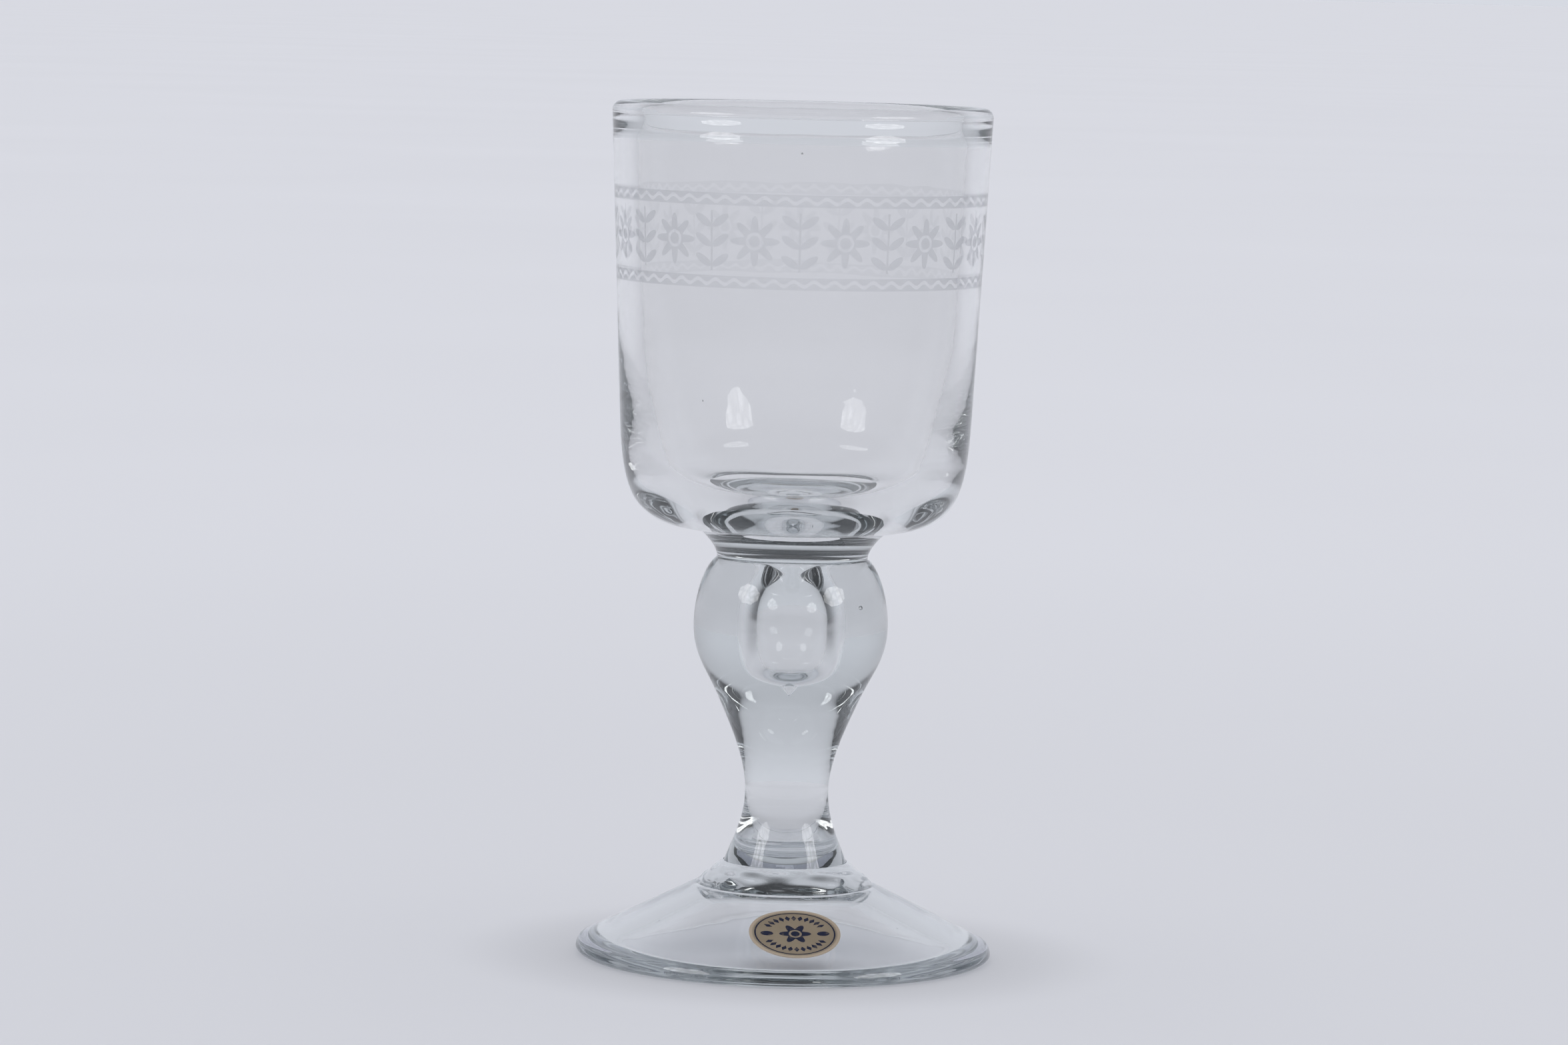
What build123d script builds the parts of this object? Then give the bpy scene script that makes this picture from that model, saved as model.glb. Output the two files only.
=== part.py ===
from build123d import *
from math import atan2, cos, degrees, radians, sin
import os

# Cordial glass: a heavy tumbler-shaped bowl on a knopped stem and a hollow conical foot.
# All lengths are millimetres and all angles degrees. The glass stands on z = 0, its axis is Z
# and its front faces -Y. A pull is how far a curve keeps to its end's direction.

# Bowl, outside
total_height = 115.0
rim_radius = 25.5
rim_wall = 3.3
lip_outer_radius = 1.3
lip_inner_radius = 1.95
wall_end_radius = 23.65
wall_end_z = 73.4
wall_end_pull = 10.2
bowl_base_radius = 12.8
bowl_base_z = 58.0
bowl_base_rise = 1.0
bowl_base_pull = 9.3

# Bowl, inside
inner_mid_radius = 21.0
inner_mid_z = 88.0
inner_mid_pull = 7.0
inner_low_radius = 17.9
inner_low_z = 67.8
inner_low_lean = 17.0
inner_low_pull = 7.0
corner_pull = 4.6
inner_floor_radius = 7.0
inner_floor_z = 61.5
inner_floor_pull = 6.0
crown_z = 61.9
crown_pull = 3.0

# Merese, the flared disc between bowl and stem
neck_radius = 10.15
neck_z = 54.0
merese_neck_pull = 1.5
merese_edge_lean = 45.0
merese_edge_pull = 1.6

# Stem, from the neck over the knop, its flank and the waist to the base
shoulder_lean = 61.0
shoulder_pull = 1.65
knop_radius = 13.1
knop_z = 44.9
knop_pull = 4.2
flank_radius = 9.5
flank_z = 35.0
flank_lean = 24.0
flank_pull = 4.0
waist_radius = 5.63
waist_z = 22.6
waist_pull = 4.0
stem_base_radius = 8.25
stem_base_z = 12.95
stem_base_lean = 21.0
stem_base_pull = 3.5

# Air tear closed inside the knop
tear_top_z = 52.8
tear_top_fall = 28.0
tear_top_pull = 2.8
tear_radius = 4.9
tear_z = 45.4
tear_pull = 3.8
tail_radius = 0.8
tail_z = 39.0
tail_fall = 12.0
tail_pull = 3.4
tail_tip_z = 37.4

# Collar, the round pad that joins the stem to the foot
collar_top_radius = 8.35
collar_top_fall = 38.0
collar_base_radius = 12.0
collar_base_z = 9.9
collar_base_lean = 48.0
collar_pull = 1.3

# Foot
cone_end_radius = 26.9
cone_end_z = 2.43
cone_end_pull = 0.45
face_top_radius = 27.74
face_top_z = 1.9
face_lean = 26.0
face_pull = 0.32
foot_radius = 28.05
foot_widest_z = 0.9
edge_lower_pull = 0.45
rest_outer_radius = 26.5
rest_outer_pull = 0.8
rest_inner_radius = 25.3
hollow_rim_radius = 21.5
hollow_rim_z = 1.35
hollow_rim_pull = 1.5
hollow_radius = 11.8
hollow_z = 6.2
hollow_pull = 4.0
hollow_top_z = 8.6
hollow_top_pull = 4.5

# Foil label stuck on the front of the foot
label_width = 12.3
label_length = 10.6
label_thickness = 0.12
label_gap = 0.02
label_radius = 19.9
label_turn = 4.6

up = 90.0
down = -90.0
outward = 0.0
inward = 180.0


def curve(start, leave, start_pull, end, arrive, end_pull):
    """Curve that leaves its start and reaches its end along two angles above the outward radius."""
    first = (start[0] + start_pull * cos(radians(leave)), start[1] + start_pull * sin(radians(leave)))
    last = (end[0] - end_pull * cos(radians(arrive)), end[1] - end_pull * sin(radians(arrive)))
    return Bezier(start, first, last, end)


def heading(start, end):
    """Angle above the outward radius of the straight line between two points."""
    return degrees(atan2(end[1] - start[1], end[0] - start[0]))


def spin(edges):
    """Turn a closed outline, drawn as radius and height, about the axis of the glass."""
    return revolve(make_face(Plane.XZ * (Curve() + edges)), Axis.Z)


def bowl_solid():
    """Bowl with a rounded lip, a slightly tapered wall that thickens downwards and a thick base."""
    base = (bowl_base_radius, bowl_base_z)
    wall_end = (wall_end_radius, wall_end_z)
    outer_top = (rim_radius, total_height - lip_outer_radius)
    lip_outer = (rim_radius - lip_outer_radius, total_height)
    inner_top = (rim_radius - rim_wall, total_height - lip_inner_radius)
    lip_inner = (rim_radius - rim_wall + lip_inner_radius, total_height)
    inner_mid = (inner_mid_radius, inner_mid_z)
    inner_low = (inner_low_radius, inner_low_z)
    floor = (inner_floor_radius, inner_floor_z)
    crown = (0, crown_z)
    wall_lean = heading(wall_end, outer_top)
    inner_lean = heading(inner_top, inner_mid)
    low_fall = down - inner_low_lean
    return spin([
        Line((0, bowl_base_z), base),
        curve(base, bowl_base_rise, bowl_base_pull, wall_end, wall_lean, wall_end_pull),
        Line(wall_end, outer_top),
        TangentArc(outer_top, lip_outer, tangent=(0, 1)),
        Line(lip_outer, lip_inner),
        TangentArc(lip_inner, inner_top, tangent=(-1, 0)),
        Line(inner_top, inner_mid),
        curve(inner_mid, inner_lean, inner_mid_pull, inner_low, low_fall, inner_low_pull),
        curve(inner_low, low_fall, corner_pull, floor, inward, inner_floor_pull),
        curve(floor, inward, crown_pull, crown, inward, crown_pull),
        Line(crown, (0, bowl_base_z)),
    ])


def merese_solid():
    """Flared disc with a hollow flank, upright at the neck and wide under the bowl."""
    neck = (neck_radius, neck_z)
    edge = (bowl_base_radius, bowl_base_z)
    return spin([
        Line((0, neck_z), neck),
        curve(neck, up, merese_neck_pull, edge, up - merese_edge_lean, merese_edge_pull),
        Line(edge, (0, bowl_base_z)),
        Line((0, bowl_base_z), (0, neck_z)),
    ])


def stem_solid():
    """Knopped stem drawn as four curves that share their tangents, less the air tear."""
    neck = (neck_radius, neck_z)
    knop = (knop_radius, knop_z)
    flank = (flank_radius, flank_z)
    waist = (waist_radius, waist_z)
    base = (stem_base_radius, stem_base_z)
    flank_fall = down - flank_lean
    return spin([
        Line((0, neck_z), neck),
        curve(neck, down + shoulder_lean, shoulder_pull, knop, down, knop_pull),
        curve(knop, down, knop_pull, flank, flank_fall, flank_pull),
        curve(flank, flank_fall, flank_pull, waist, down, waist_pull),
        curve(waist, down, waist_pull, base, down + stem_base_lean, stem_base_pull),
        Line(base, (0, stem_base_z)),
        Line((0, stem_base_z), (0, neck_z)),
    ]) - tear_solid()


def tear_solid():
    """Air tear: a low peaked dome, a full belly, and a short pointed tail below."""
    top = (0, tear_top_z)
    belly = (tear_radius, tear_z)
    tail = (tail_radius, tail_z)
    return spin([
        curve(top, outward - tear_top_fall, tear_top_pull, belly, down, tear_pull),
        curve(belly, down, tear_pull, tail, inward + tail_fall, tail_pull),
        Line(tail, (0, tail_tip_z)),
        Line((0, tail_tip_z), top),
    ])


def collar_solid():
    """Round pad of glass under the stem, its edge rolled down onto the foot."""
    base = (collar_base_radius, collar_base_z)
    top = (collar_top_radius, stem_base_z)
    return spin([
        Line((0, collar_base_z), base),
        curve(base, up + collar_base_lean, collar_pull, top, inward - collar_top_fall, collar_pull),
        Line(top, (0, stem_base_z)),
        Line((0, stem_base_z), (0, collar_base_z)),
    ])


def foot_solid():
    """Conical foot, hollow underneath, with a bevelled edge and a narrow flat ring to rest on."""
    cone_start = (collar_base_radius, collar_base_z)
    cone_end = (cone_end_radius, cone_end_z)
    face_top = (face_top_radius, face_top_z)
    widest = (foot_radius, foot_widest_z)
    rest_outer = (rest_outer_radius, 0)
    rest_inner = (rest_inner_radius, 0)
    hollow_rim = (hollow_rim_radius, hollow_rim_z)
    hollow = (hollow_radius, hollow_z)
    hollow_top = (0, hollow_top_z)
    cone_lean = heading(cone_start, cone_end)
    face_fall = down + face_lean
    hollow_lean = heading(hollow_rim, hollow)
    return spin([
        Line((0, collar_base_z), cone_start),
        Line(cone_start, cone_end),
        curve(cone_end, cone_lean, cone_end_pull, face_top, face_fall, face_pull),
        curve(face_top, face_fall, face_pull, widest, down, face_pull),
        curve(widest, down, edge_lower_pull, rest_outer, inward, rest_outer_pull),
        Line(rest_outer, rest_inner),
        curve(rest_inner, inward, hollow_rim_pull, hollow_rim, hollow_lean, hollow_rim_pull),
        Line(hollow_rim, hollow),
        curve(hollow, hollow_lean, hollow_pull, hollow_top, inward, hollow_top_pull),
        Line(hollow_top, (0, collar_base_z)),
    ])


def label_solid():
    """Thin oval of foil curved to the cone of the foot, held off it by its layer of glue."""
    fall = (collar_base_z - cone_end_z) / (cone_end_radius - collar_base_radius)
    face_normal = Vector(fall, 0, 1).normalized()
    inside = face_normal * label_gap
    outside = face_normal * (label_gap + label_thickness)
    middle = Vector(label_radius, 0, collar_base_z - fall * (label_radius - collar_base_radius))
    along = Vector(1, 0, -fall).normalized() * label_length
    band = revolve(
        make_face(Polyline(
            middle - along + inside,
            middle + along + inside,
            middle + along + outside,
            middle - along + outside,
            close=True,
        )),
        Axis.Z,
    )
    front = Plane(middle, x_dir=(0, 1, 0), z_dir=face_normal)
    cutter = extrude(front * Ellipse(label_width / 2, label_length / 2), label_width / 4, both=True)
    return Rot(0, 0, label_turn - 90) * (band & cutter)


pieces = {
    "bowl": bowl_solid(),
    "merese": merese_solid(),
    "stem": stem_solid(),
    "foot_collar": collar_solid(),
    "foot": foot_solid(),
    "foil_label": label_solid(),
}

os.makedirs("parts", exist_ok=True)
for name, solid in pieces.items():
    export_step(solid, "parts/" + name + ".step")
    print(name, round(solid.volume, 1), "cubic millimetres")
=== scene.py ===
import math
from functools import partial
import bpy
import numpy as np
from mathutils import Matrix, Vector


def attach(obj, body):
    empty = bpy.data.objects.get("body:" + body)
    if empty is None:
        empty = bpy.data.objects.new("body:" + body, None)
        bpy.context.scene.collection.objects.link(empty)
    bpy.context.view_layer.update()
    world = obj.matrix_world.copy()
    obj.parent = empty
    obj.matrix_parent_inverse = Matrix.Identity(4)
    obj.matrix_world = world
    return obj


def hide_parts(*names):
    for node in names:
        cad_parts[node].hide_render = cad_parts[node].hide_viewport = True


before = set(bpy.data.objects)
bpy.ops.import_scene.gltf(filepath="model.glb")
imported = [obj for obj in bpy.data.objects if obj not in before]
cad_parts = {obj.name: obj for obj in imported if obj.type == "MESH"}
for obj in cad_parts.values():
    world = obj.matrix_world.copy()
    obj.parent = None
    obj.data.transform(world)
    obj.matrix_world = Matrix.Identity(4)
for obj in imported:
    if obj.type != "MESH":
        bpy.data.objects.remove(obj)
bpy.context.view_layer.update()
scene = bpy.context.scene
mm = 0.001
white = (1.0, 1.0, 1.0, 1.0)
hair = 0.005      # half of the gap left at a fused joint, mm
sharpTurn = 40.0  # faces that meet at more than this keep a sharp edge, degrees
up, down, outward, inward = 90.0, -90.0, 0.0, 180.0  # profile directions, degrees above the outward radius


# Profiles are arrays of (radius, height) in millimetres, followed with the glass on their left hand

def reach(point, angle, pull):
    way = math.radians(angle)
    return np.array(point, float) + pull * np.array([math.cos(way), math.sin(way)])


# Cubic curve that leaves its start and arrives at its end along two given angles
def curve(start, leave, startPull, end, arrive, endPull, count):
    t = np.linspace(0.0, 1.0, count)[:, None]
    first, last = reach(start, leave, startPull), reach(end, arrive, -endPull)
    start, end = np.array(start, float), np.array(end, float)
    return (1 - t) ** 3 * start + 3 * t * (1 - t) ** 2 * first + 3 * t * t * (1 - t) * last + t ** 3 * end


def straight(start, end, count=2):
    return np.linspace(np.array(start, float), np.array(end, float), count)


def heading(start, end):
    return math.degrees(math.atan2(end[1] - start[1], end[0] - start[0]))


# Circular arc about a centre, from one angle to another
def arc(centre, radius, first, last, count):
    a = np.radians(np.linspace(first, last, count))[:, None]
    return np.array(centre, float) + radius * np.hstack([np.cos(a), np.sin(a)])


# Runs joined end to end; a run that starts where the last one ended loses its first point
def chain(*runs):
    joined = runs[0]
    for run in runs[1:]:
        joined = np.vstack([joined, run[1:] if np.allclose(joined[-1], run[0]) else run])
    return joined


# Marks for the steps of a profile: 1 on those that lie on a joint with the next piece
def fusedSteps(profile, *steps):
    marks = np.zeros(len(profile) - 1)
    marks[list(steps)] = 1
    return marks


# Sum of sine waves, each given by its size, its count round the axis, its turn per millimetre of height
# and its start, in radians
def ripples(waves, z, a):
    return sum(size * np.sin(count * a + rise * z + start) for size, count, rise, start in waves)


# Surface of revolution: each profile point (r, z) goes round the axis to (r sin a, -r cos a, z).
# swell(r, z, a) times each point's share adds to the radius. The profile starts and ends on the axis, where
# fans close it. fused holds the marks of the profile's steps
def lathe(profile, turns, swell=None, fused=None, share=None, centre=(0.0, 0.0, 0.0)):
    a = np.arange(turns) * (2 * np.pi / turns)
    r, z = profile[1:-1, :1], profile[1:-1, 1:]
    grow = swell(r, z, a[None, :]) if swell else 0.0
    grow = grow if share is None else grow * share[1:-1, None]
    radius = r + grow + 0 * a[None, :]
    rings = np.stack([radius * np.sin(a), -radius * np.cos(a), z + 0 * radius], axis=-1).reshape(-1, 3)
    poles = np.array([[0.0, 0.0, profile[0, 1]], [0.0, 0.0, profile[-1, 1]]])
    points = np.vstack([poles[:1], rings, poles[1:]]) + np.array(centre)
    grid = 1 + np.arange(len(rings)).reshape(-1, turns)
    beside = np.roll(grid, -1, axis=1)
    quads = np.stack([grid[:-1], beside[:-1], beside[1:], grid[1:]], axis=-1).reshape(-1, 4)
    bottom = np.stack([0 * grid[0], beside[0], grid[0]], axis=-1)
    top = np.stack([grid[-1], beside[-1], 0 * grid[-1] + len(points) - 1], axis=-1)
    marks = fusedSteps(profile) if fused is None else fused
    joint = np.repeat(np.concatenate([marks[1:-1], marks[:1], marks[-1:]]), turns)  # quads, then fans
    return points, quads, np.vstack([bottom, top]), joint


# Mesh with smooth faces out of points in millimetres
def newMesh(name, points, faces, material):
    mesh = bpy.data.meshes.new(name)
    mesh.from_pydata((points * mm).tolist(), [], faces)
    mesh.polygons.foreach_set("use_smooth", np.ones(len(faces), bool))
    mesh.set_sharp_from_angle(angle=math.radians(sharpTurn))
    mesh.materials.append(material)
    return mesh


def addObject(name, data):
    made = bpy.data.objects.new(name, data)
    scene.collection.objects.link(made)
    return made


# One mesh object out of one or more closed shells
def makePiece(name, shells, material, node):
    points, faces, joint, start = [], [], [], 0
    for shellPoints, quads, fans, marks in shells:
        points.append(shellPoints)
        faces += (quads + start).tolist() + (fans + start).tolist()
        joint.append(marks)
        start += len(shellPoints)
    mesh = newMesh(name, np.vstack(points), faces, material)
    mark = mesh.attributes.new("fusedJoint", "FLOAT", "FACE")
    mark.data.foreach_set("value", np.concatenate(joint).astype(np.float32))
    piece = addObject(name, mesh)
    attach(piece, "root")
    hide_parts(node)
    print(name, len(faces), "faces")


# Settings come before inputs, because some sockets appear only once a setting is made
def addNode(tree, kind, inputs=None, **settings):
    made = tree.nodes.new(kind)
    for key, value in settings.items():
        setattr(made, key, value)
    for key, value in (inputs or {}).items():
        if isinstance(value, bpy.types.NodeSocket):
            tree.links.new(value, made.inputs[key])
        else:
            made.inputs[key].default_value = value
    return made


def sums(tree, operation, *values):
    return addNode(tree, "ShaderNodeMath", dict(enumerate(values)), operation=operation).outputs[0]


def distance(tree, x, y):
    squares = [sums(tree, "MULTIPLY", value, value) for value in (x, y)]
    return sums(tree, "SQRT", sums(tree, "ADD", *squares))


# Goes from first to last as share goes from 0 to 1
def blend(tree, first, last, share):
    return sums(tree, "MULTIPLY_ADD", sums(tree, "SUBTRACT", last, first), share, first)


# Goes from low to high as the value goes from first to last
def ramp(tree, value, first, last, low=0.0, high=1.0, kind="LINEAR"):
    spans = {"Value": value, "From Min": first, "From Max": last, "To Min": low, "To Max": high}
    return addNode(tree, "ShaderNodeMapRange", spans, interpolation_type=kind).outputs[0]


def softRamp(tree, value, first, last, low=0.0, high=1.0):
    return ramp(tree, value, first, last, low, high, "SMOOTHSTEP")


def noise(tree, place, scale, detail):
    spots = {"Vector": place, "Scale": scale, "Detail": detail}
    return addNode(tree, "ShaderNodeTexNoise", spots).outputs[0]


# Sockets 6 and 7 are the colours of a Mix node, and its output 2 is the mixed colour
def mixColour(tree, share, first, last):
    return addNode(tree, "ShaderNodeMix", {0: share, 6: first, 7: last}, data_type="RGBA").outputs[2]


def newGroup(name, inputs, outputs):
    tree = bpy.data.node_groups.new(name, "ShaderNodeTree")
    for label, kind in inputs:
        tree.interface.new_socket(label, in_out="INPUT", socket_type=kind)
    for label, kind in outputs:
        tree.interface.new_socket(label, in_out="OUTPUT", socket_type=kind)
    return tree, tree.nodes.new("NodeGroupInput").outputs, tree.nodes.new("NodeGroupOutput").inputs


def placeGroup(tree, group, inputs):
    return addNode(tree, "ShaderNodeGroup", inputs, node_tree=group).outputs


def newMaterial(name):
    material = bpy.data.materials.new(name)
    material.use_nodes = True
    material.node_tree.nodes.clear()
    return material, material.node_tree


glassLook = dict(
    ior=1.51, shadow=(0.86, 0.865, 0.87, 1.0),
    absorb=(0.60, 0.645, 0.655, 1.0), bowlDensity=10.0, stemDensity=27.0, footDensity=23.0,
    smear=0.015, smearScale=90.0, smearDetail=5.0, smearRange=(0.52, 0.78),  # roughness where handled
    cordScale=(60.0, 60.0, 260.0), cordDetail=2.0, cordHeight=0.00004,       # cords lie round the axis
    etchRoughness=0.15, etchPaintedShade=(0.84, 0.845, 0.855, 1.0),
    etchPaintedSlantShade=(0.52, 0.53, 0.55, 1.0), paintedSlantBlend=0.5,                       # etching painted grey, and painted darker at a slant: painted shade
)


# Skin of hot-worked glass: fine cords as a height, and faint smears of handling as a roughness
def hotGlassGroup(look):
    tree, given, out = newGroup(
        "hotGlassSkin", [("Place", "NodeSocketVector")],
        [("Roughness", "NodeSocketFloat"), ("Height", "NodeSocketFloat")],
    )
    place = given["Place"]
    smears = noise(tree, place, look["smearScale"], look["smearDetail"])
    stretched = addNode(tree, "ShaderNodeMapping", {"Vector": place, "Scale": look["cordScale"]})
    tree.links.new(ramp(tree, smears, *look["smearRange"], 0.0, look["smear"]), out["Roughness"])
    tree.links.new(noise(tree, stretched.outputs[0], 1.0, look["cordDetail"]), out["Height"])
    return tree


frieze = dict(
    middle=97.5, repeats=13, wallRadius=24.7, insideRadius=23.2,   # all lengths in millimetres
    stripInner=4.6, stripOuter=6.2,                                # border strips, from the middle line
    waveCount=58, waveHeight=0.32, waveWidth=0.25,
    petals=8, petalRadius=2.4, petalSwing=0.9, eye=0.95, eyeRing=0.2,
    leafPitch=2.6, leafStart=3.5, leafOut=1.25, leafLong=1.15, leafWide=0.62, leafSlope=0.55,
    stalkHalf=0.15, sprigHalf=3.9,
    wornBack=0.55, wornReach=6.0,                                  # etching left at the back, and its fade
)


# Etched band round the bowl, as a mask: two border strips with a clear wavy line in each, and between
# them rosettes alternating with upright leaf sprigs, all fainter at the back
def friezeGroup(f):
    tree, given, out = newGroup(
        "etchedFrieze", [("Place", "NodeSocketVector")], [("Mask", "NodeSocketFloat")],
    )
    op = partial(sums, tree)

    def near(value, width):
        return op("LESS_THAN", op("ABSOLUTE", value), width)

    def without(first, other):
        return op("MULTIPLY", first, op("SUBTRACT", 1.0, other))

    place = addNode(tree, "ShaderNodeVectorMath", {0: given["Place"], "Scale": 1 / mm}, operation="SCALE")
    x, y, z = addNode(tree, "ShaderNodeSeparateXYZ", {0: place.outputs[0]}).outputs
    angle = op("ARCTAN2", x, op("MULTIPLY", y, -1.0))
    cellWide = 2 * math.pi * f["wallRadius"] / f["repeats"]
    across = op("SUBTRACT", op("FRACT", op("MULTIPLY", angle, f["repeats"] / (2 * math.pi))), 0.5)
    u = op("MULTIPLY", across, cellWide)
    w = op("SUBTRACT", z, f["middle"])
    high = op("ABSOLUTE", w)

    fromStrip = op("SUBTRACT", high, (f["stripOuter"] + f["stripInner"]) / 2)
    inStrip = near(fromStrip, (f["stripOuter"] - f["stripInner"]) / 2)
    wave = op("MULTIPLY", op("SINE", op("MULTIPLY", angle, f["waveCount"])), f["waveHeight"])
    strip = without(inStrip, near(op("SUBTRACT", fromStrip, wave), f["waveWidth"]))

    rho = distance(tree, u, w)
    petal = op("COSINE", op("MULTIPLY", op("ARCTAN2", w, u), f["petals"]))
    inPetals = op("LESS_THAN", rho, op("MULTIPLY_ADD", petal, f["petalSwing"], f["petalRadius"]))
    rosette = without(inPetals, near(op("SUBTRACT", rho, f["eye"]), f["eyeRing"]))

    a = op("MULTIPLY", op("SUBTRACT", 0.5, op("ABSOLUTE", across)), cellWide)  # from the cell's edge
    step = op("SUBTRACT", op("FRACT", op("ADD", op("DIVIDE", w, f["leafPitch"]), f["leafStart"])), 0.5)
    along = op("SUBTRACT", a, f["leafOut"])
    slant = op("SUBTRACT", op("MULTIPLY", step, f["leafPitch"]), op("MULTIPLY", along, f["leafSlope"]))
    fromLeaf = distance(tree, op("DIVIDE", along, f["leafLong"]), op("DIVIDE", slant, f["leafWide"]))
    leafOrStalk = op("MAXIMUM", op("LESS_THAN", fromLeaf, 1.0), op("LESS_THAN", a, f["stalkHalf"]))
    sprig = op("MULTIPLY", leafOrStalk, op("LESS_THAN", high, f["sprigHalf"]))

    mask = op("MAXIMUM", strip, op("MAXIMUM", rosette, sprig))
    onOutside = op("GREATER_THAN", distance(tree, x, y), f["insideRadius"])
    worn = ramp(tree, y, -f["wornReach"], f["wornReach"], 1.0, f["wornBack"])
    tree.links.new(op("MULTIPLY", op("MULTIPLY", mask, onOutside), worn), out["Mask"])
    return tree


# Clear glass. A face on a fused joint is unseen, because the glass runs on through it, and a shadow
# ray passes with a slight loss, as light does through thin clear glass
def makeGlass(name, look, skin, density, etching=None):
    material, tree = newMaterial(name)
    place = addNode(tree, "ShaderNodeTexCoord").outputs["Object"]
    surface = placeGroup(tree, skin, {"Place": place})
    roughness, colour = surface["Roughness"], white
    if etching:
        mask = placeGroup(tree, etching, {"Place": place})["Mask"]
        roughness = sums(tree, "MULTIPLY_ADD", mask, look["etchRoughness"], roughness)
        # painted shade: the etching is tinted grey, and painted darker still where it is seen at a slant
        slant = addNode(tree, "ShaderNodeLayerWeight", {"Blend": look["paintedSlantBlend"]}).outputs["Facing"]
        colour = mixColour(tree, mask, white, mixColour(tree, slant, look["etchPaintedShade"], look["etchPaintedSlantShade"]))
    bump = addNode(
        tree, "ShaderNodeBump",
        {"Height": surface["Height"], "Strength": 1.0, "Distance": look["cordHeight"]},
    )
    joint = addNode(tree, "ShaderNodeAttribute", attribute_name="fusedJoint")
    glass = addNode(
        tree, "ShaderNodeBsdfPrincipled",
        {
            "Base Color": colour, "Metallic": 0.0, "Roughness": roughness, "IOR": look["ior"],
            "Transmission Weight": 1.0, "Normal": bump.outputs[0],
            "Alpha": sums(tree, "SUBTRACT", 1.0, joint.outputs["Fac"]),
        },
    )
    clear = addNode(tree, "ShaderNodeBsdfTransparent", {"Color": look["shadow"]})
    rays = addNode(tree, "ShaderNodeLightPath")
    mixed = addNode(
        tree, "ShaderNodeMixShader",
        {0: rays.outputs["Is Shadow Ray"], 1: glass.outputs[0], 2: clear.outputs[0]},
    )
    tint = addNode(tree, "ShaderNodeVolumeAbsorption", {"Color": look["absorb"], "Density": density})
    addNode(tree, "ShaderNodeOutputMaterial", {"Surface": mixed.outputs[0], "Volume": tint.outputs[0]})
    return material


skin = hotGlassGroup(glassLook)
stemGlass = makeGlass("clearStemGlass", glassLook, skin, glassLook["stemDensity"])
footGlass = makeGlass("clearFootGlass", glassLook, skin, glassLook["footDensity"])
etchedGlass = makeGlass("etchedBowlGlass", glassLook, skin, glassLook["bowlDensity"], friezeGroup(frieze))
print("glass materials ready")

seedMesh = dict(steps=9, turns=14)


# Tiny closed air bubble: a half circle followed from top to bottom, so that its skin faces the air
def seed(x, y, z, radius):
    return lathe(arc((0, 0), radius, up, down, seedMesh["steps"]), seedMesh["turns"], centre=(x, y, z))


bowl = dict(
    height=115.0, rimRadius=25.5, rimWall=3.3, lipOuter=1.3, lipInner=1.95,
    wallEnd=(23.65, 73.4), wallEndPull=10.2,
    base=(12.8, 58.0), baseRise=1.0, basePull=9.3,
    innerMid=(21.0, 88.0), innerMidPull=7.0,
    innerLow=(17.9, 67.8), innerLowLean=17.0, innerLowPull=7.0, cornerPull=4.6,
    floor=(7.0, 61.5), floorPull=6.0, crown=61.9, crownPull=3.0,
    lipEdge=(21.63, 113.4), lipLean=9.0, lipPulls=(1.3, 0.9),         # bead of melted glass inside the lip
    beadEnd=110.0, beadPull=1.1,
    wander=0.045, wanderTop=112.0, wanderReach=40.0, wanderMost=1.2,  # how far the inner wall strays, mm
    calmRadius=5.0, calmBlend=6.0,                                    # the floor's middle doesn't stray
    waves=(
        (1.0, 2, 0.05, 0.0), (0.6, 3, -0.11, 1.2), (0.5, 5, 0.19, 2.1),
        (0.35, 9, 0.33, 0.0), (0.35, 1, 0.42, 0.0),
    ),
    seeds=((0.0, 24.0, 107.8, 0.16), (-14.9, 16.2, 71.0, 0.14)),      # place and radius of each bubble, mm
    steps=(60, 40, 16, 25, 30, 40, 30, 40, 14), turns=256,            # points along each run, and round
)


# Inner wall: slow uneven waves of the hand-worked wall, growing from the lip towards the base
def bowlSwell(r, z, a):
    grown = np.clip((bowl["wanderTop"] - z) / bowl["wanderReach"], 0, bowl["wanderMost"])
    stirred = np.clip((r - bowl["calmRadius"]) / bowl["calmBlend"], 0, 1)
    return bowl["wander"] * grown * stirred * ripples(bowl["waves"], z, a)


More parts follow.
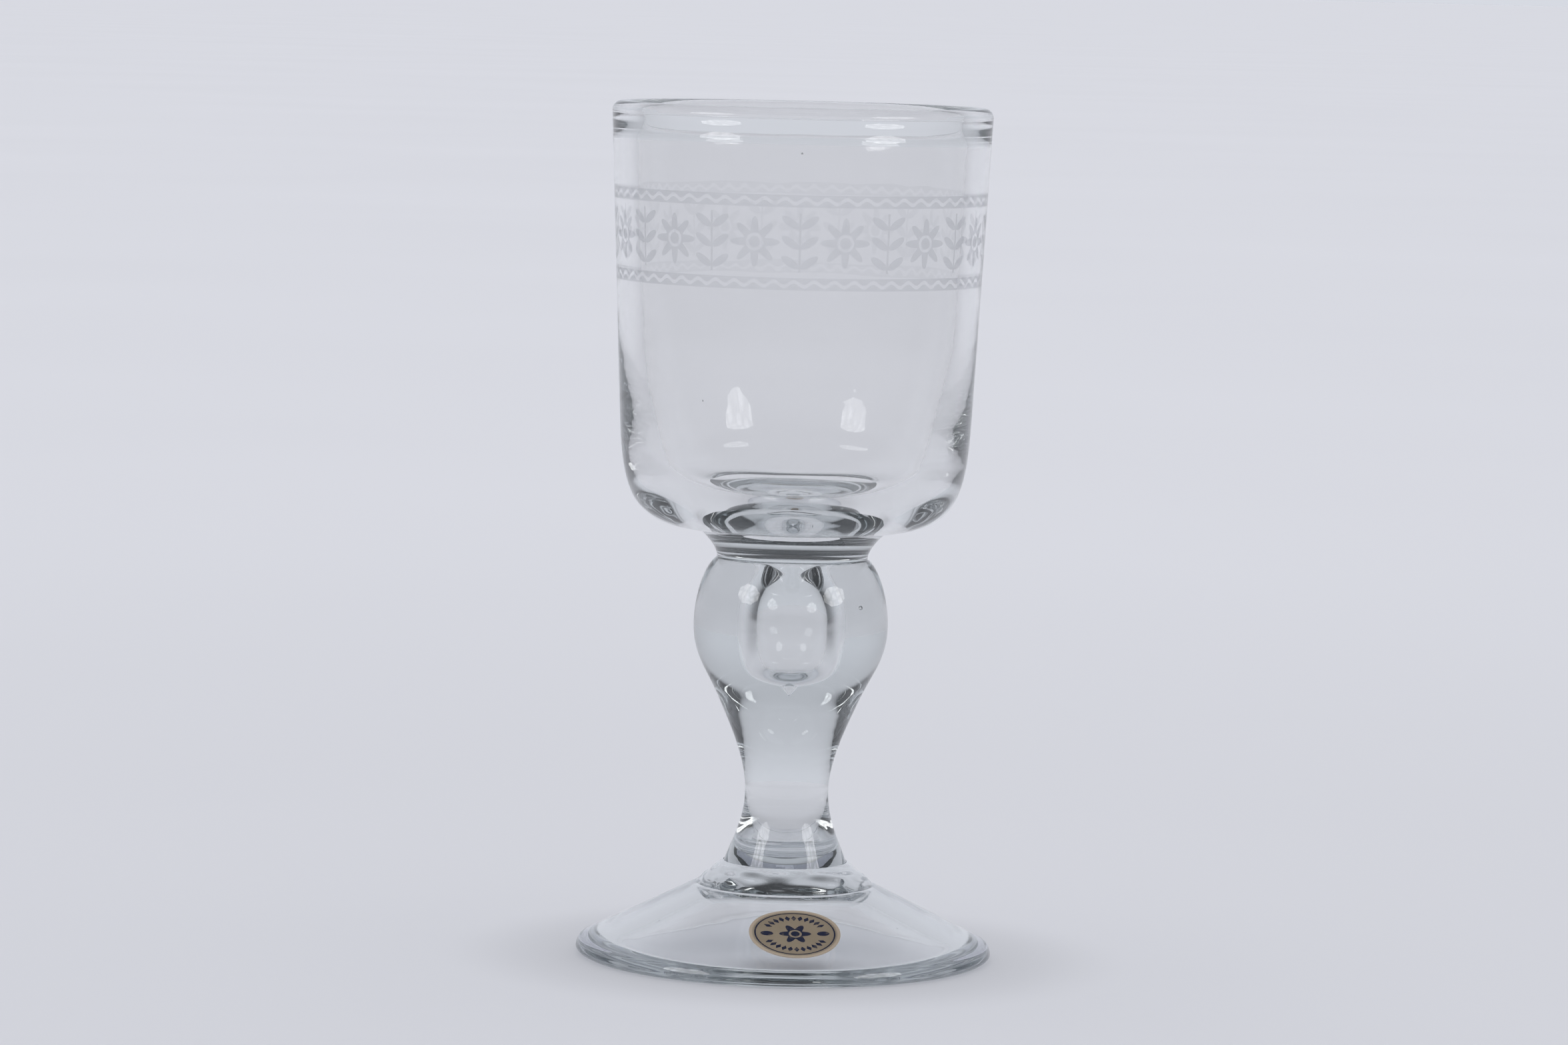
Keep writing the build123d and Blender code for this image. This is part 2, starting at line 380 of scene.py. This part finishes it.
def bowlProfile(b):
    n = b["steps"]
    base = (b["base"][0], b["base"][1] + hair)
    outerTop = (b["rimRadius"], b["height"] - b["lipOuter"])
    innerTop = (b["rimRadius"] - b["rimWall"], b["height"] - b["lipInner"])
    lipTop = (innerTop[0] + b["lipInner"], b["height"])
    along = (innerTop[1] - b["beadEnd"]) / (innerTop[1] - b["innerMid"][1])
    beadEnd = (innerTop[0] + along * (b["innerMid"][0] - innerTop[0]), b["beadEnd"])
    wallLean, innerLean = heading(b["wallEnd"], outerTop), heading(innerTop, b["innerMid"])
    lipFall, lowFall = down + b["lipLean"], down - b["innerLowLean"]
    outside = chain(
        straight((0, base[1]), base),
        curve(base, b["baseRise"], b["basePull"], b["wallEnd"], wallLean, b["wallEndPull"], n[0]),
        straight(b["wallEnd"], outerTop, n[1]),
        arc((outerTop[0] - b["lipOuter"], outerTop[1]), b["lipOuter"], outward, up, n[2]),
        curve(lipTop, inward, b["lipPulls"][0], b["lipEdge"], lipFall, b["lipPulls"][1], n[3]),
    )
    inside = chain(
        curve(b["lipEdge"], lipFall, b["beadPull"], beadEnd, innerLean, b["beadPull"], n[4]),
        straight(beadEnd, b["innerMid"], n[5]),
        curve(b["innerMid"], innerLean, b["innerMidPull"], b["innerLow"], lowFall, b["innerLowPull"], n[6]),
        curve(b["innerLow"], lowFall, b["cornerPull"], b["floor"], inward, b["floorPull"], n[7]),
        curve(b["floor"], inward, b["crownPull"], (0, b["crown"]), inward, b["crownPull"], n[8]),
    )
    profile = chain(outside, inside)
    within = np.arange(len(profile)) >= len(outside)
    return profile, fusedSteps(profile, 0), within


profile, fused, within = bowlProfile(bowl)
makePiece(
    "bowlGlass",
    [lathe(profile, bowl["turns"], bowlSwell, fused, share=within)] + [seed(*s) for s in bowl["seeds"]],
    etchedGlass, "bowl",
)

merese = dict(
    neck=(10.15, 54.0), neckPull=1.5, edge=(12.8, 58.0), edgeLean=45.0, edgePull=1.6, steps=30, turns=256,
)


def mereseProfile(m):
    neck, edge = (m["neck"][0], m["neck"][1] + hair), (m["edge"][0], m["edge"][1] - hair)
    profile = chain(
        straight((0, neck[1]), neck),
        curve(neck, up, m["neckPull"], edge, up - m["edgeLean"], m["edgePull"], m["steps"]),
        straight(edge, (0, edge[1])),
    )
    return profile, fusedSteps(profile, 0, -1)


profile, fused = mereseProfile(merese)
makePiece(
    "mereseGlass", [lathe(profile, merese["turns"], None, fused)],
    stemGlass, "merese",
)

stem = dict(
    neck=(10.15, 54.0), shoulderLean=61.0, shoulderPull=1.65,
    knop=(13.1, 44.9), knopPull=4.2,
    flank=(9.5, 35.0), flankLean=24.0, flankPull=4.0,
    waist=(5.63, 22.6), waistPull=4.0,
    base=(8.25, 12.95), baseLean=21.0, basePull=3.5,
    tearTop=52.8, tearFall=28.0, tearTopPull=2.8,
    belly=(4.9, 45.4), tearPull=3.8,
    tail=(0.8, 39.0), tailFall=12.0, tailPull=3.4, tip=37.4,
    tearStray=0.10, tearWaves=((1.0, 1, 0.0, 0.4), (0.5, 2, 0.3, 0.0)),  # how far it is out of round, mm
    seeds=((7.9, -4.4, 47.7, 0.28), (-6.0, 5.0, 33.0, 0.10)),
    steps=44, turns=256, tearSteps=40, tailSteps=6, tearTurns=160,
)


def stemProfile(s):
    n = s["steps"]
    neck, base = (s["neck"][0], s["neck"][1] - hair), (s["base"][0], s["base"][1] + hair)
    flankRise, shoulder = up - s["flankLean"], up + s["shoulderLean"]
    profile = chain(
        straight((0, base[1]), base),
        curve(base, up + s["baseLean"], s["basePull"], s["waist"], up, s["waistPull"], n),
        curve(s["waist"], up, s["waistPull"], s["flank"], flankRise, s["flankPull"], n),
        curve(s["flank"], flankRise, s["flankPull"], s["knop"], up, s["knopPull"], n),
        curve(s["knop"], up, s["knopPull"], neck, shoulder, s["shoulderPull"], n),
        straight(neck, (0, neck[1])),
    )
    return profile, fusedSteps(profile, 0, -1)


# Air tear, followed from its top down to its tail, so that its skin faces the air inside
def tearProfile(s):
    n, top = s["tearSteps"], (0, s["tearTop"])
    return chain(
        curve(top, outward - s["tearFall"], s["tearTopPull"], s["belly"], down, s["tearPull"], n),
        curve(s["belly"], down, s["tearPull"], s["tail"], inward + s["tailFall"], s["tailPull"], n),
        straight(s["tail"], (0, s["tip"]), s["tailSteps"]),
    )


# The tear is a little off centre and oval, in proportion to its radius
def tearSwell(r, z, a):
    return stem["tearStray"] * (r / stem["belly"][0]) * ripples(stem["tearWaves"], z, a)


profile, fused = stemProfile(stem)
makePiece(
    "stemGlass",
    [lathe(profile, stem["turns"], None, fused), lathe(tearProfile(stem), stem["tearTurns"], tearSwell)]
    + [seed(*s) for s in stem["seeds"]],
    stemGlass, "stem",
)

collar = dict(
    base=(12.0, 9.9), baseLean=48.0, top=(8.35, 12.95), topFall=38.0, pull=1.3,
    toolMark=0.08, markMargin=0.2, markBlend=0.5, markInner=7.0,      # tool marks keep off the joints, mm
    waves=((1.0, 7, 3.1, 0.0), (0.7, 11, -2.2, 1.0), (0.5, 2, 5.0, 0.0)),
    steps=50, turns=320,
)


# Tool marks of the shaped pad: shallow swirls that wind round as they rise
def collarSwell(r, z, a):
    c = collar
    overBase = np.clip((z - c["base"][1] - c["markMargin"]) / c["markBlend"], 0, 1)
    underTop = np.clip((c["top"][1] - c["markMargin"] - z) / c["markBlend"], 0, 1)
    return c["toolMark"] * overBase * underTop * ripples(c["waves"], z, a) * (r > c["markInner"])


def collarProfile(c):
    base, top = (c["base"][0], c["base"][1] + hair), (c["top"][0], c["top"][1] - hair)
    profile = chain(
        straight((0, base[1]), base),
        curve(base, up + c["baseLean"], c["pull"], top, inward - c["topFall"], c["pull"], c["steps"]),
        straight(top, (0, top[1])),
    )
    return profile, fusedSteps(profile, 0, -1)


profile, fused = collarProfile(collar)
makePiece(
    "collarGlass", [lathe(profile, collar["turns"], collarSwell, fused)],
    stemGlass, "foot_collar",
)

foot = dict(
    coneStart=(12.0, 9.9), coneEnd=(26.9, 2.43), coneEndPull=0.45,
    faceTop=(27.74, 1.9), faceLean=26.0, facePull=0.32, widest=(28.05, 0.9), lowerPull=0.45,
    restOuter=(26.5, 0.0), restPull=0.8, restInner=(25.3, 0.0), hollowRim=(21.5, 1.35), rimPull=1.5,
    hollow=(11.8, 6.2), hollowPull=4.0, hollowTop=8.6, hollowTopPull=4.5,
    seeds=((-16.5, -10.5, 5.6, 0.12), (15.0, -12.0, 5.4, 0.10)),
    steps=(30, 20, 20, 4, 26, 16, 20, 30), turns=320,                 # points along each run, and round
)


def footProfile(f):
    n = f["steps"]
    start, top = (f["coneStart"][0], f["coneStart"][1] - hair), (0, f["hollowTop"])
    coneRise = heading(f["coneEnd"], f["coneStart"])
    hollowFall = heading(f["hollow"], f["hollowRim"])
    faceRise = up + f["faceLean"]
    profile = chain(
        curve(top, outward, f["hollowTopPull"], f["hollow"], hollowFall, f["hollowPull"], n[0]),
        straight(f["hollow"], f["hollowRim"], n[1]),
        curve(f["hollowRim"], hollowFall, f["rimPull"], f["restInner"], outward, f["rimPull"], n[2]),
        straight(f["restInner"], f["restOuter"], n[3]),
        curve(f["restOuter"], outward, f["restPull"], f["widest"], up, f["lowerPull"], n[4]),
        curve(f["widest"], up, f["facePull"], f["faceTop"], faceRise, f["facePull"], n[5]),
        curve(f["faceTop"], faceRise, f["facePull"], f["coneEnd"], coneRise, f["coneEndPull"], n[6]),
        straight(f["coneEnd"], start, n[7]),
        straight(start, (0, start[1])),
    )
    return profile, fusedSteps(profile, -1)


profile, fused = footProfile(foot)
makePiece(
    "footGlass",
    [lathe(profile, foot["turns"], None, fused)] + [seed(*s) for s in foot["seeds"]],
    footGlass, "foot",
)

label = dict(
    width=12.3, length=10.6, thickness=0.12, gap=0.02, radius=19.9, turn=4.6,   # millimetres and degrees
    gold=(0.47, 0.375, 0.265, 1.0), paleGold=(0.60, 0.49, 0.36, 1.0), edgeGold=(0.86, 0.71, 0.55, 1.0),
    ink=(0.012, 0.016, 0.05, 1.0), metal=0.55, inkMetal=0.1, rough=(0.25, 0.5), inkRough=0.45,
    edgeFade=(0.90, 0.95), border=0.865, borderWidth=0.018,                     # of the oval's half width
    rosette=1.62, rosetteSwing=0.5, rosettePetals=6.0, rosetteEye=0.72, eyeRing=0.14,
    leafAt=3.75, leafLong=0.85, leafWide=0.5,
    lozengeAt=0.655, lozengeTall=0.105, lozengeCount=30.0, lozengeWide=0.42, lozengeFree=0.42,
    grainScale=1400.0, grainDetail=6.0, rubScale=320.0, rubDetail=4.0,
    wornGrain=(0.55, 0.7), wornInk=0.75,
    rubDent=0.7, inkDent=-0.25, dentStrength=0.6, dentDepth=0.00008,
    rings=30, turns=120,
)


# Printed foil: gold with a worn grain and a paler edge, a thin line near the edge, a rosette between two
# leaves in the middle, and an arc of lozenges above and below them
def makeFoil(c):
    material, tree = newMaterial("printedGoldFoil")
    op = partial(sums, tree)

    def near(value, centre, width):
        return op("LESS_THAN", op("ABSOLUTE", op("SUBTRACT", value, centre)), width)

    coords = addNode(tree, "ShaderNodeTexCoord").outputs
    flat = addNode(tree, "ShaderNodeSeparateXYZ", {0: coords["UV"]}).outputs
    a = op("MULTIPLY_ADD", flat[0], 2.0, -1.0)  # -1 to 1 across the oval
    b = op("MULTIPLY_ADD", flat[1], 2.0, -1.0)
    x, y = op("MULTIPLY", a, c["width"] / 2), op("MULTIPLY", b, c["length"] / 2)
    rho, angle = distance(tree, a, b), op("ARCTAN2", b, a)
    line = near(rho, c["border"], c["borderWidth"])

    middle = distance(tree, x, y)
    petal = op("COSINE", op("MULTIPLY", op("ARCTAN2", y, x), c["rosettePetals"]))
    inPetals = op("LESS_THAN", middle, op("MULTIPLY_ADD", petal, c["rosetteSwing"], c["rosette"]))
    rosette = op("MULTIPLY", inPetals, op("SUBTRACT", 1.0, near(middle, c["rosetteEye"], c["eyeRing"])))
    side = op("DIVIDE", op("SUBTRACT", op("ABSOLUTE", x), c["leafAt"]), c["leafLong"])
    leaf = op("LESS_THAN", distance(tree, side, op("DIVIDE", y, c["leafWide"])), 1.0)

    step = op("SUBTRACT", op("FRACT", op("MULTIPLY", angle, c["lozengeCount"] / (2 * math.pi))), 0.5)
    wide = op("DIVIDE", op("ABSOLUTE", step), c["lozengeWide"])
    tall = op("DIVIDE", op("ABSOLUTE", op("SUBTRACT", rho, c["lozengeAt"])), c["lozengeTall"])
    inArc = op("GREATER_THAN", op("ABSOLUTE", op("SINE", angle)), c["lozengeFree"])
    lozenge = op("MULTIPLY", op("LESS_THAN", op("ADD", wide, tall), 1.0), inArc)
    ink = op("MAXIMUM", op("MAXIMUM", line, rosette), op("MAXIMUM", leaf, lozenge))

    grain = noise(tree, coords["Object"], c["grainScale"], c["grainDetail"])
    rub = noise(tree, coords["Object"], c["rubScale"], c["rubDetail"])
    gold = mixColour(tree, rub, c["gold"], c["paleGold"])
    gold = mixColour(tree, ramp(tree, rho, *c["edgeFade"]), gold, c["edgeGold"])
    covered = op("MULTIPLY", ink, ramp(tree, grain, *c["wornGrain"], 1.0, c["wornInk"]))
    rough = op("MAXIMUM", ramp(tree, grain, 0.0, 1.0, *c["rough"]), op("MULTIPLY", covered, c["inkRough"]))
    dents = op("ADD", op("MULTIPLY", rub, c["rubDent"]), op("MULTIPLY", ink, c["inkDent"]))
    bump = addNode(
        tree, "ShaderNodeBump",
        {"Height": dents, "Strength": c["dentStrength"], "Distance": c["dentDepth"]},
    )
    foil = addNode(
        tree, "ShaderNodeBsdfPrincipled",
        {
            "Base Color": mixColour(tree, covered, gold, c["ink"]),
            "Metallic": op("MULTIPLY_ADD", covered, c["inkMetal"] - c["metal"], c["metal"]),
            "Roughness": rough, "Normal": bump.outputs[0],
        },
    )
    addNode(tree, "ShaderNodeOutputMaterial", {"Surface": foil.outputs[0]})
    return material


# Oval sheet rolled onto the cone: a point at (a, b) of the flat oval goes b up the slope and a round it.
# The outer and inner faces and the cut edge make one closed skin
def makeLabel(c):
    fall = (foot["coneStart"][1] - foot["coneEnd"][1]) / (foot["coneEnd"][0] - foot["coneStart"][0])
    tip = foot["coneStart"][1] + foot["coneStart"][0] * fall
    slope = math.atan(fall)
    share = np.linspace(0, 1, c["rings"])[1:, None]
    psi = np.arange(c["turns"]) * (2 * np.pi / c["turns"])
    a = np.concatenate([[0.0], (share * np.cos(psi)).ravel()])
    b = np.concatenate([[0.0], (share * np.sin(psi)).ravel()])

    def onCone(lift):
        slant = c["radius"] / math.cos(slope) - b * c["length"] / 2  # distance down the slope from the tip
        turn = math.radians(c["turn"]) + a * c["width"] / 2 / (slant * math.cos(slope))
        r = slant * math.cos(slope) + lift * math.sin(slope)
        z = tip - slant * math.sin(slope) + lift * math.cos(slope)
        return np.stack([r * np.sin(turn), -r * np.cos(turn), z], axis=-1)

    count = len(a)
    grid = 1 + np.arange(count - 1).reshape(-1, c["turns"])
    beside = np.roll(grid, -1, axis=1)
    quads = np.stack([grid[:-1], grid[1:], beside[1:], beside[:-1]], axis=-1).reshape(-1, 4)
    fan = np.stack([0 * grid[0], grid[0], beside[0]], axis=-1)
    rim = np.stack([grid[-1], grid[-1] + count, beside[-1] + count, beside[-1]], axis=-1)
    runs = (quads, fan, quads[:, ::-1] + count, fan[:, ::-1] + count, rim)
    faces = sum((run.tolist() for run in runs), [])
    points = np.vstack([onCone(c["gap"] + c["thickness"]), onCone(c["gap"])])
    mesh = newMesh("foilLabel", points, faces, makeFoil(c))
    uvs = np.tile(np.stack([0.5 + a / 2, 0.5 + b / 2], axis=-1), (2, 1))
    corner = np.empty(len(mesh.loops), np.int32)
    mesh.loops.foreach_get("vertex_index", corner)
    layer = mesh.uv_layers.new(name="flatLabel")
    layer.data.foreach_set("uv", uvs[corner].ravel().astype(np.float32))
    piece = addObject("foilLabel", mesh)
    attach(piece, "root")
    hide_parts("foil_label")
    print("foilLabel", len(faces), "faces")


makeLabel(label)

studio = dict(
    floorHalf=300.0, floorColour=(0.797, 0.806, 0.86),                # all lengths in metres
    # the table is painted darker near the glass and paler further off: painted shade
    floorPaintedShadeNear=0.94, floorFar=0.995, floorFade=(0.1, 0.7),
    mottleScale=2.5, mottleDetail=2.0, mottle=(0.98, 1.02),
    paintedRoomShadeFade=(0.04, 0.6),                                            # where the room takes over
    # painted pool of light under the hollow foot, fading into a painted shadow round the foot's edge
    paintedFootLight=1.2, paintedFootShadow=0.87, paintedFootFade=(0.022, 0.028), paintedShadowFade=(0.028, 0.048),
    sunStrength=2.33, sunAngle=110.0, sunLean=(-12.0, 4.0, 0.0),
    boxTurn=57.0, boxRise=22.0, boxDistance=0.62, boxAim=0.06, boxAcross=0.33, boxTall=0.19, boxSides=8,
    boxGlow=4.9, boxFaint=0.42, creaseGlow=0.5, creaseScale=14.0, creaseWide=0.25,
    backGlow=(0.675, 0.70, 0.76),
    frontGlow=0.5, frontFade=(-0.5, 0.2), besideGlow=0.3, besideFade=(0.2, 0.85),
    roundGlow=0.85, roundFade=(0.2, 0.9),
    highGlow=0.86, highFade=(0.02, 0.45),
    topGlow=0.10, topFade=(0.5, 0.8), sideFall=0.3, sideFade=(0.2, 0.8),
    tiny=0.001,                                                       # keeps a division off zero
)


# How bright the room is level with the glass, by direction. Ahead is 1 straight behind the glass and -1 at
# the camera. Seen through the glass the room is a little darker beside and in front than behind. Mirrored
# inside the glass it is dim beside it and dimmer in front
def roomGroup(s):
    tree, given, out = newGroup(
        "roomLevel", [("Ahead", "NodeSocketFloat"), ("Mirrored", "NodeSocketFloat")],
        [("Level", "NodeSocketFloat")],
    )
    ahead = given["Ahead"]
    front = softRamp(tree, ahead, *s["frontFade"], s["frontGlow"])
    beside = softRamp(tree, ahead, *s["besideFade"], s["besideGlow"])
    seen = softRamp(tree, ahead, *s["roundFade"], s["roundGlow"])
    level = blend(tree, seen, sums(tree, "MULTIPLY", front, beside), given["Mirrored"])
    tree.links.new(level, out["Level"])
    return tree


def flatMesh(name, corners, material):
    mesh = bpy.data.meshes.new(name)
    mesh.from_pydata(np.array(corners, float).tolist(), [], [list(range(len(corners)))])
    mesh.materials.append(material)
    thing = addObject(name, mesh)
    return thing


# Pale table, painted darker near the glass and paler further off, with a painted pool of light under the
# hollow foot and a painted shadow round the foot's edge. To rays bent by the glass it is painted darker
# from a little way off, to the level of the room there
def makeFloor(s, room):
    material, tree = newMaterial("paleTable")
    op = partial(sums, tree)
    place = addNode(tree, "ShaderNodeTexCoord").outputs["Object"]
    away = addNode(tree, "ShaderNodeVectorMath", {0: place}, operation="LENGTH").outputs["Value"]
    mottle = ramp(tree, noise(tree, place, s["mottleScale"], s["mottleDetail"]), 0.0, 1.0, *s["mottle"])
    # painted shade: darker near the glass, paler further off
    paler = softRamp(tree, away, *s["floorFade"], s["floorPaintedShadeNear"], s["floorFar"])
    # painted pool of light under the hollow foot and painted shadow round its edge
    under = softRamp(tree, away, *s["paintedFootFade"], s["paintedFootLight"], s["paintedFootShadow"])
    paintedFootLightAndShadow = blend(tree, under, 1.0, softRamp(tree, away, *s["paintedShadowFade"]))
    pale = op("MULTIPLY", op("MULTIPLY", mottle, paler), paintedFootLightAndShadow)

    # painted shade: to rays bent by the glass the table is painted darker from a little way off, down to
    # the room's level there
    behind = addNode(tree, "ShaderNodeSeparateXYZ", {0: place}).outputs[1]
    ahead = op("DIVIDE", behind, op("MAXIMUM", away, s["tiny"]))
    path = addNode(tree, "ShaderNodeLightPath").outputs
    mirrored = op("MINIMUM", path["Glossy Depth"], 1.0)
    level = placeGroup(tree, room, {"Ahead": ahead, "Mirrored": mirrored})["Level"]
    bent = op("SUBTRACT", 1.0, path["Is Camera Ray"])
    dim = blend(tree, 1.0, level, op("MULTIPLY", softRamp(tree, away, *s["paintedRoomShadeFade"]), bent))
    shade = {0: s["floorColour"], "Scale": op("MULTIPLY", pale, dim)}
    colour = addNode(tree, "ShaderNodeVectorMath", shade, operation="SCALE")
    surface = addNode(tree, "ShaderNodeBsdfDiffuse", {"Color": colour.outputs[0]})
    addNode(tree, "ShaderNodeOutputMaterial", {"Surface": surface.outputs[0]})
    h = s["floorHalf"]
    flatMesh("tableTop", [(-h, -h, 0), (h, -h, 0), (h, h, 0), (-h, h, 0)], material)


# Octagonal soft box with a creased silver lining, seen only mirrored in the glass and fainter after two
# mirrorings
def makeSoftBox(s, name, side):
    material, tree = newMaterial(name + "Lining")
    op = partial(sums, tree)
    place = addNode(tree, "ShaderNodeTexCoord").outputs["Object"]
    cells = {"Vector": place, "Scale": s["creaseScale"]}
    crease = addNode(tree, "ShaderNodeTexVoronoi", cells, feature="DISTANCE_TO_EDGE").outputs["Distance"]
    glow = ramp(tree, crease, 0.0, s["creaseWide"], s["boxGlow"] * s["creaseGlow"], s["boxGlow"])
    mirrorings = addNode(tree, "ShaderNodeLightPath").outputs["Glossy Depth"]
    strength = op("MULTIPLY", glow, ramp(tree, mirrorings, 1.0, 2.0, 1.0, s["boxFaint"]))
    emission = addNode(tree, "ShaderNodeEmission", {"Color": white, "Strength": strength})
    clear = addNode(tree, "ShaderNodeBsdfTransparent")
    shown = addNode(
        tree, "ShaderNodeMixShader",
        {0: op("MINIMUM", mirrorings, 1.0), 1: clear.outputs[0], 2: emission.outputs[0]},
    )
    addNode(tree, "ShaderNodeOutputMaterial", {"Surface": shown.outputs[0]})
    turn, rise = math.radians(side * s["boxTurn"]), math.radians(s["boxRise"])
    away = Vector((math.sin(turn) * math.cos(rise), -math.cos(turn) * math.cos(rise), math.sin(rise)))
    centre = Vector((0, 0, s["boxAim"])) + away * s["boxDistance"]
    facing = away.to_track_quat("Z", "Y").to_matrix()
    a = (np.arange(s["boxSides"]) + 0.5) * (2 * np.pi / s["boxSides"])
    flat = np.stack([np.cos(a) * s["boxAcross"] / 2, np.sin(a) * s["boxTall"] / 2, 0 * a], axis=-1)
    box = flatMesh(name, flat @ np.array(facing).T + np.array(centre), material)
    box.visible_camera = box.visible_diffuse = box.visible_shadow = False


def makeLight(s):
    data = bpy.data.lights.new("overheadLight", "SUN")
    data.energy = s["sunStrength"]
    data.angle = math.radians(s["sunAngle"])
    data.cycles.use_multiple_importance_sampling = False  # clear glass dims it only by its shadow colour
    lamp = addObject("overheadLight", data)
    lamp.rotation_euler = [math.radians(lean) for lean in s["sunLean"]]
    lamp.visible_glossy = lamp.visible_transmission = False


# Room: level with the glass as bright as its group says, a little dimmer higher up, and a dark ceiling that
# comes lower beside the glass and in front of it. What the camera sees straight is a plain pale backdrop
def makeWorld(s, room):
    world = bpy.data.worlds.new("softRoom")
    scene.world = world
    world.use_nodes = True
    tree = world.node_tree
    tree.nodes.clear()
    op = partial(sums, tree)

    way = addNode(tree, "ShaderNodeTexCoord").outputs["Generated"]
    x, y, z = addNode(tree, "ShaderNodeSeparateXYZ", {0: way}).outputs
    ahead = op("DIVIDE", y, op("MAXIMUM", distance(tree, x, y), s["tiny"]))
    path = addNode(tree, "ShaderNodeLightPath").outputs
    mirrored = op("MINIMUM", op("ADD", path["Glossy Depth"], path["Is Diffuse Ray"]), 1.0)
    level = placeGroup(tree, room, {"Ahead": ahead, "Mirrored": mirrored})["Level"]
    level = op("MULTIPLY", level, blend(tree, 1.0, s["highGlow"], softRamp(tree, z, *s["highFade"])))
    lower = op("MULTIPLY", op("SUBTRACT", 1.0, softRamp(tree, ahead, *s["sideFade"])), s["sideFall"])
    level = blend(tree, level, s["topGlow"], softRamp(tree, op("ADD", z, lower), *s["topFade"]))
    level = blend(tree, level, 1.0, path["Is Camera Ray"])
    tint = addNode(tree, "ShaderNodeVectorMath", {0: s["backGlow"], "Scale": level}, operation="SCALE")
    shine = addNode(tree, "ShaderNodeBackground", {"Color": tint.outputs[0], "Strength": 1.0})
    addNode(tree, "ShaderNodeOutputWorld", {"Surface": shine.outputs[0]})


room = roomGroup(studio)
makeFloor(studio, room)
for side, name in ((-1, "softBoxLeft"), (1, "softBoxRight")):
    makeSoftBox(studio, name, side)
makeLight(studio)
makeWorld(studio, room)
print("studio ready")

view = dict(
    distance=796.6, height=130.8, aimHeight=58.9, roll=1.39,   # millimetres and degrees
    frameWide=2352, frameTall=1568, focalPixels=8916.0,
    axisPixel=1189.8, aimPixel=782.5,                          # where the aim point falls in the frame
    sensor=36.0, clip=(0.01, 1000.0), bounces=64,
)


def makeCamera(v):
    data = bpy.data.cameras.new("frontCamera")
    data.sensor_width = v["sensor"]
    data.lens = v["sensor"] * v["focalPixels"] / v["frameWide"]
    data.clip_start, data.clip_end = v["clip"]
    camera = addObject("frontCamera", data)
    eye = Vector((0, -v["distance"], v["height"])) * mm
    pitch = math.atan2(v["aimHeight"] - v["height"], v["distance"])
    pitch += math.atan((v["aimPixel"] - v["frameTall"] / 2) / v["focalPixels"])
    yaw = math.atan((v["axisPixel"] - v["frameWide"] / 2) / v["focalPixels"])
    turn = Matrix.Rotation(yaw, 4, "Z") @ Matrix.Rotation(math.pi / 2 + pitch, 4, "X")
    camera.matrix_world = Matrix.Translation(eye) @ turn @ Matrix.Rotation(math.radians(v["roll"]), 4, "Z")
    scene.camera = camera


makeCamera(view)
scene.view_settings.view_transform = "Standard"
scene.cycles.max_bounces = view["bounces"]
scene.cycles.transmission_bounces = view["bounces"]
scene.cycles.glossy_bounces = view["bounces"]
scene.cycles.transparent_max_bounces = view["bounces"]
print("camera ready")
